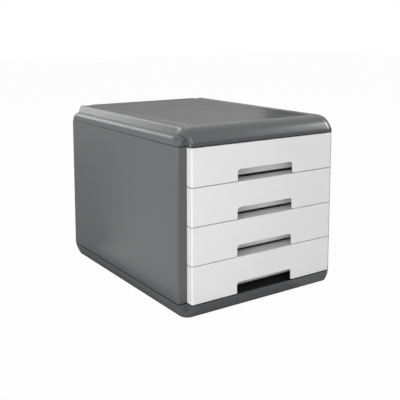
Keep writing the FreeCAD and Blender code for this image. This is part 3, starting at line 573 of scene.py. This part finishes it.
def addTier(work, box):
    # a frame of one section, so it needs no caps
    seam, wall, shoulder = box[1].z / mm - cover["height"], cover["wall"], cover["shoulder"]
    top, rim, bevel = seam + cover["tierHeight"], seam + cover["seamGap"], cover["rimBevel"]
    profile = [(bevel, rim), (0, rim + bevel), (0, seam + 2.5), (0, seam + 5.0)]   # inset from the side, height
    for step in range(coverSteps["shoulder"] + 1):
        angle = math.pi / 2 * step / coverSteps["shoulder"]
        profile.append((shoulder * (1 - math.cos(angle)), top - shoulder * (1 - math.sin(angle))))
    profile += [(cover["tierLedge"], top), (cover["tierLedge"], top - wall), (shoulder + 0.5, top - wall),
                (wall + 0.6, top - shoulder - 0.4), (wall, top - shoulder - 1.5), (wall, rim)]
    rings = []
    for inset, z in profile:
        radius = cover["tierCorner"] + cover["cornerGrowth"] * ease((z - seam) / cover["tierHeight"])
        ring = roundedRing(box[0].x / mm + inset, box[0].y / mm + cover["tierStep"] + inset,
                           box[1].x / mm - inset, box[1].y / mm - inset, radius)
        rings.append([work.verts.new((x * mm, y * mm, z * mm)) for x, y in ring])
    for lower, upper in zip(rings, rings[1:] + rings[:1]):
        for index in range(len(lower)):
            after = (index + 1) % len(lower)
            work.faces.new((lower[index], lower[after], upper[after], upper[index]))


def addBar(work, low, high):
    corners = [[work.verts.new((x * mm, y * mm, z * mm)) for x, y in
                ((low[0], low[1]), (high[0], low[1]), (high[0], high[1]), (low[0], high[1]))]
               for z in (low[2], high[2])]
    work.faces.new(corners[0][::-1])
    work.faces.new(corners[1])
    for index in range(4):
        after = (index + 1) % 4
        work.faces.new((corners[0][index], corners[0][after], corners[1][after], corners[1][index]))


def makeTopCover(material):
    box = [Vector(corner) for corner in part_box("top_cover")]
    work = bmesh.new()
    addShell(work, crownGrid(box), cover["wall"])
    addTier(work, box)
    for side in (-1, 1):
        middle = side * cover["ribHalf"]
        addBar(work, (middle - cover["ribWall"] / 2, cover["ribFront"], cover["ribFoot"]),
               (middle + cover["ribWall"] / 2, cover["ribBack"], box[1].z / mm - cover["wall"]))
    bmesh.ops.recalc_face_normals(work, faces=work.faces)
    creaseEdges(work)
    mesh = bpy.data.meshes.new("topCoverSkin")
    work.to_mesh(mesh)
    work.free()
    mesh.materials.append(material)
    piece = placePiece(bpy.data.objects.new("topCoverSkin", mesh), "housing", "housing_plastic", "top_cover")
    evenShading(piece)


underEdge = {                 # mm
    "bottom": 2.0, "cadRadius": 8.5, "planRadius": 18.0,
    "across": 10.0, "up": 16.0, "cuts": 11,  # the sides' curve and the rows cut for it
    "cornerAcross": 7.6, "cornerUp": 18.3, "cornerBend": 1.3,   # how the corners draw in, and from which height
    "fade": 1.7,                             # over which the move dies out behind the skin
    "sunk": 1.2, "sunkFrom": 12.0,
}


def roundUnderEdge(work):
    # the base draws in below in a taller curve than a plain round, most of all at its corners
    high = Vector(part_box("base")[1]) / mm
    for cut in range(1, underEdge["cuts"] + 1):
        height = underEdge["bottom"] + underEdge["up"] * cut / (underEdge["cuts"] + 1)
        bmesh.ops.bisect_plane(work, geom=work.verts[:] + work.edges[:] + work.faces[:], dist=1e-7,
                               plane_co=(0, 0, height * mm), plane_no=(0, 0, 1))
    radius, curve = underEdge["planRadius"], underEdge["cadRadius"]
    for vert in work.verts:
        x, y, z = vert.co / mm
        rise = z - underEdge["bottom"]
        now = curve - math.sqrt(max(0, curve ** 2 - (curve - rise) ** 2)) if rise < curve else 0
        wanted = underEdge["across"] * (1 - math.sqrt(1 - max(0, 1 - rise / underEdge["up"]) ** 2))
        outX, outY = abs(x) - (high.x - radius), abs(y) - (high.y - radius)
        if outX > 0 and outY > 0:
            way = Vector((outX, outY))
            reach = radius - way.length
            way.normalize()
            corner = underEdge["cornerAcross"] * max(0, 1 - rise / underEdge["cornerUp"]) ** underEdge["cornerBend"]
            wanted += max(0, corner - wanted) * ease(2 * way.x * way.y)
        else:
            way = Vector((1, 0)) if outX > outY else Vector((0, 1))
            reach = radius - max(outX, outY)
        share = 1 - ease((reach - curve) / underEdge["fade"])
        push = max(0, wanted - now) * share
        vert.co.x -= math.copysign(way.x * push, x) * mm
        vert.co.y -= math.copysign(way.y * push, y) * mm
        vert.co.z -= underEdge["sunk"] * ease(1 - rise / (underEdge["sunkFrom"] - underEdge["bottom"])) * mm


screws = {                    # mm
    "headRadius": 3.3, "headHeight": 2.2, "headRound": 0.6,
    "shankRadius": 1.5, "core": 1.15, "neck": 0.5, "pitch": 1.3, "length": 13.0, "tip": 2.2, "tipRadius": 0.3,
    "slotHalf": 0.42, "slotReach": 1.75, "slotDepth": 1.1, "slotTaper": 0.8,
    "sides": 24, "columns": 2, "rows": 3, "turn": 1.5, "seed": 4,
}
feet = {                      # mm
    "radius": 8.0, "height": 3.2, "rim": 1.0,
    "hollowRadius": 4.6, "hollow": 0.5, "lip": 0.12, "lipWidth": 0.3,
    "sides": 40, "columns": 2, "rows": 2, "turn": 0.3, "seed": 2,
}


def turnedMesh(profile, sides):
    # a lathe profile, radius and height of each ring, open at both ends
    work = bmesh.new()
    rings = []
    for radius, z in profile:
        rings.append([work.verts.new((radius * mm * math.cos(math.tau * step / sides),
                                      radius * mm * math.sin(math.tau * step / sides), z * mm))
                      for step in range(sides)])
    for lower, upper in zip(rings, rings[1:]):
        for index in range(sides):
            after = (index + 1) % sides
            work.faces.new((lower[index], lower[after], upper[after], upper[index]))
    return work, rings


def screwMesh():
    # head down, with a cross recess pressed into it and a thread round the core
    head, soft, end = screws["headRadius"], screws["headRound"], screws["headHeight"] + screws["length"]
    profile = []
    for step in range(5):
        angle = math.pi / 2 * step / 4
        profile.append((head - soft + soft * math.sin(angle), soft - soft * math.cos(angle)))
    profile += [(head, screws["headHeight"]), (screws["shankRadius"], screws["headHeight"])]
    z = screws["headHeight"] + screws["neck"]
    while z < end - screws["tip"]:
        profile += [(screws["core"], z), (screws["shankRadius"], z + screws["pitch"] / 2)]
        z += screws["pitch"]
    profile += [(screws["core"], z), (screws["tipRadius"], end)]
    work, rings = turnedMesh(profile, screws["sides"])
    half, reach, taper = screws["slotHalf"], screws["slotReach"], screws["slotTaper"]
    outline = [(reach, -half), (reach, half), (half, half), (half, reach), (-half, reach), (-half, half),
               (-reach, half), (-reach, -half), (-half, -half), (-half, -reach), (half, -reach), (half, -half)]
    cross = [work.verts.new((x * mm, y * mm, 0)) for x, y in outline]
    deep = [work.verts.new((x * taper * mm, y * taper * mm, screws["slotDepth"] * mm)) for x, y in outline]
    edges = [work.edges.new((one, other)) for one, other in zip(cross, cross[1:] + cross[:1])]
    edges += [work.edges.get((one, other)) for one, other in zip(rings[0], rings[0][1:] + rings[0][:1])]
    bmesh.ops.triangle_fill(work, edges=edges, use_beauty=True)
    for index in range(len(cross)):
        after = (index + 1) % len(cross)
        work.faces.new((cross[index], cross[after], deep[after], deep[index]))
    work.faces.new(deep)
    work.faces.new(rings[-1])
    return work


def footMesh():
    # a disc with a soft rim and a hollow in its tread
    radius, rim, hollow, inner = feet["radius"], feet["rim"], feet["hollow"], feet["hollowRadius"]
    profile = [(inner, hollow), (inner + hollow, feet["lip"]), (inner + hollow + feet["lipWidth"], 0)]
    for step in range(6):
        angle = math.pi / 2 * step / 5
        profile.append((radius - rim + rim * math.sin(angle), rim - rim * math.cos(angle)))
    profile.append((radius, feet["height"]))
    work, rings = turnedMesh(profile, feet["sides"])
    work.faces.new(rings[0])
    work.faces.new(rings[-1])
    return work


def seatedPiecesTree():
    # repeats the given piece on a grid of seats, each turned a little by chance
    tree = bpy.data.node_groups.new("seatedPieces", "GeometryNodeTree")
    sockets = (("Geometry", "Geometry"), ("Across", "Float"), ("Along", "Float"), ("Columns", "Int"),
               ("Rows", "Int"), ("Middle", "Vector"), ("Turn", "Float"), ("Seed", "Int"), ("Material", "Material"))
    for title, kind in sockets:
        tree.interface.new_socket(title, in_out="INPUT", socket_type="NodeSocket" + kind)
    tree.interface.new_socket("Geometry", in_out="OUTPUT", socket_type="NodeSocketGeometry")
    given, result = tree.nodes.new("NodeGroupInput"), tree.nodes.new("NodeGroupOutput")
    seats = addNode(tree, "GeometryNodeMeshGrid", "seats")
    chance = addNode(tree, "FunctionNodeRandomValue", "turn by chance", data_type="FLOAT")
    back = addNode(tree, "ShaderNodeMath", operation="MULTIPLY")
    back.inputs[1].default_value = -1.0
    turn = addNode(tree, "ShaderNodeCombineXYZ")
    copies = addNode(tree, "GeometryNodeInstanceOnPoints")
    moved = addNode(tree, "GeometryNodeTransform")
    whole = addNode(tree, "GeometryNodeRealizeInstances")
    dressed = addNode(tree, "GeometryNodeSetMaterial")
    for title, socket in (("Across", seats.inputs["Size X"]), ("Along", seats.inputs["Size Y"]),
                          ("Columns", seats.inputs["Vertices X"]), ("Rows", seats.inputs["Vertices Y"]),
                          ("Turn", back.inputs[0]), ("Turn", chance.inputs[3]), ("Seed", chance.inputs["Seed"]),
                          ("Geometry", copies.inputs["Instance"]), ("Middle", moved.inputs["Translation"]),
                          ("Material", dressed.inputs["Material"])):
        tree.links.new(given.outputs[title], socket)
    tree.links.new(back.outputs[0], chance.inputs[2])
    tree.links.new(chance.outputs[1], turn.inputs["Z"])
    tree.links.new(turn.outputs[0], copies.inputs["Rotation"])
    tree.links.new(seats.outputs["Mesh"], copies.inputs["Points"])
    tree.links.new(copies.outputs[0], moved.inputs["Geometry"])
    tree.links.new(moved.outputs[0], whole.inputs[0])
    tree.links.new(whole.outputs[0], dressed.inputs["Geometry"])
    tree.links.new(dressed.outputs[0], result.inputs[0])
    return tree


def seatPieces(name, work, tree, sizes, box, radius, material, slot, nodes):
    # box spans all the seated pieces, so the seats' grid is smaller by one piece
    bmesh.ops.recalc_face_normals(work, faces=work.faces)
    creaseEdges(work)
    mesh = bpy.data.meshes.new(name)
    work.to_mesh(mesh)
    work.free()
    sample = bpy.data.objects.new(name + "Sample", mesh)
    bpy.context.scene.collection.objects.link(sample)
    low, high = box
    settings = {"Across": high.x - low.x - 2 * radius * mm, "Along": high.y - low.y - 2 * radius * mm,
                "Columns": sizes["columns"], "Rows": sizes["rows"],
                "Middle": ((low.x + high.x) / 2, (low.y + high.y) / 2, low.z),
                "Turn": sizes["turn"], "Seed": sizes["seed"], "Material": material}
    seating = sample.modifiers.new("seating", "NODES")
    seating.node_group = tree
    for socket in tree.interface.items_tree:
        if socket.in_out == "INPUT" and socket.name in settings:
            seating[socket.identifier] = settings[socket.name]
    seated = bpy.data.meshes.new_from_object(sample.evaluated_get(bpy.context.evaluated_depsgraph_get()))
    seated.name = name
    sample.modifiers.remove(seating)
    bpy.data.objects.remove(sample)
    placePiece(bpy.data.objects.new(name, seated), "housing", slot, *nodes)


def seatScrewsAndFeet(finish):
    tree = seatedPiecesTree()
    screwBox = [Vector(corner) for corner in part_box("base_screws")]
    seatPieces("baseScrews", screwMesh(), tree, screws, screwBox, screws["headRadius"], finish["screwSteel"],
               "screw_steel", ["base_screws"])
    nodes = [name for name in frame["nodes"] if name.startswith("foot_")]
    corners = [Vector(corner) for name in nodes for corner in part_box(name)]
    footBox = [Vector(pick(corner[axis] for corner in corners) for axis in range(3)) for pick in (min, max)]
    seatPieces("rubberFeet", footMesh(), tree, feet, footBox, feet["radius"], finish["footRubber"],
               "foot_rubber", nodes)
    return ["base_screws", *nodes]


finishOfSlot = {"housing_plastic": "housingPlastic", "drawer_plastic": "drawerPlastic",
                "foot_rubber": "footRubber", "screw_steel": "screwSteel"}


def dressMouldings(finish, made):
    # every other node keeps its shape, the base apart
    for row in frame["record"]["subparts"]:
        node, slot = row["node"], row["material_slot"]
        if node in made:
            continue
        look = "trayPlastic" if node.endswith("_tray") else finishOfSlot[slot]
        mouldedPiece(node + "_look", node, finish[look], frame["nodes"][node]["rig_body"], slot,
                     roundUnderEdge if node == "base" else None)


makeCamera()
makeStudio()
print("camera and studio ready")
groups = mouldedGrainGroup(), handlingGroup(), seamShadeGroup()
finish = {name: makeFinish(name, *groups) for name in finishes}
print("finishes ready:", ", ".join(finish))
makeTopCover(finish["housingPlastic"])
print("top cover ready")
seatedNodes = seatScrewsAndFeet(finish)
print("screws and feet seated")
dressMouldings(finish, ["top_cover", *seatedNodes])
print("mouldings ready")
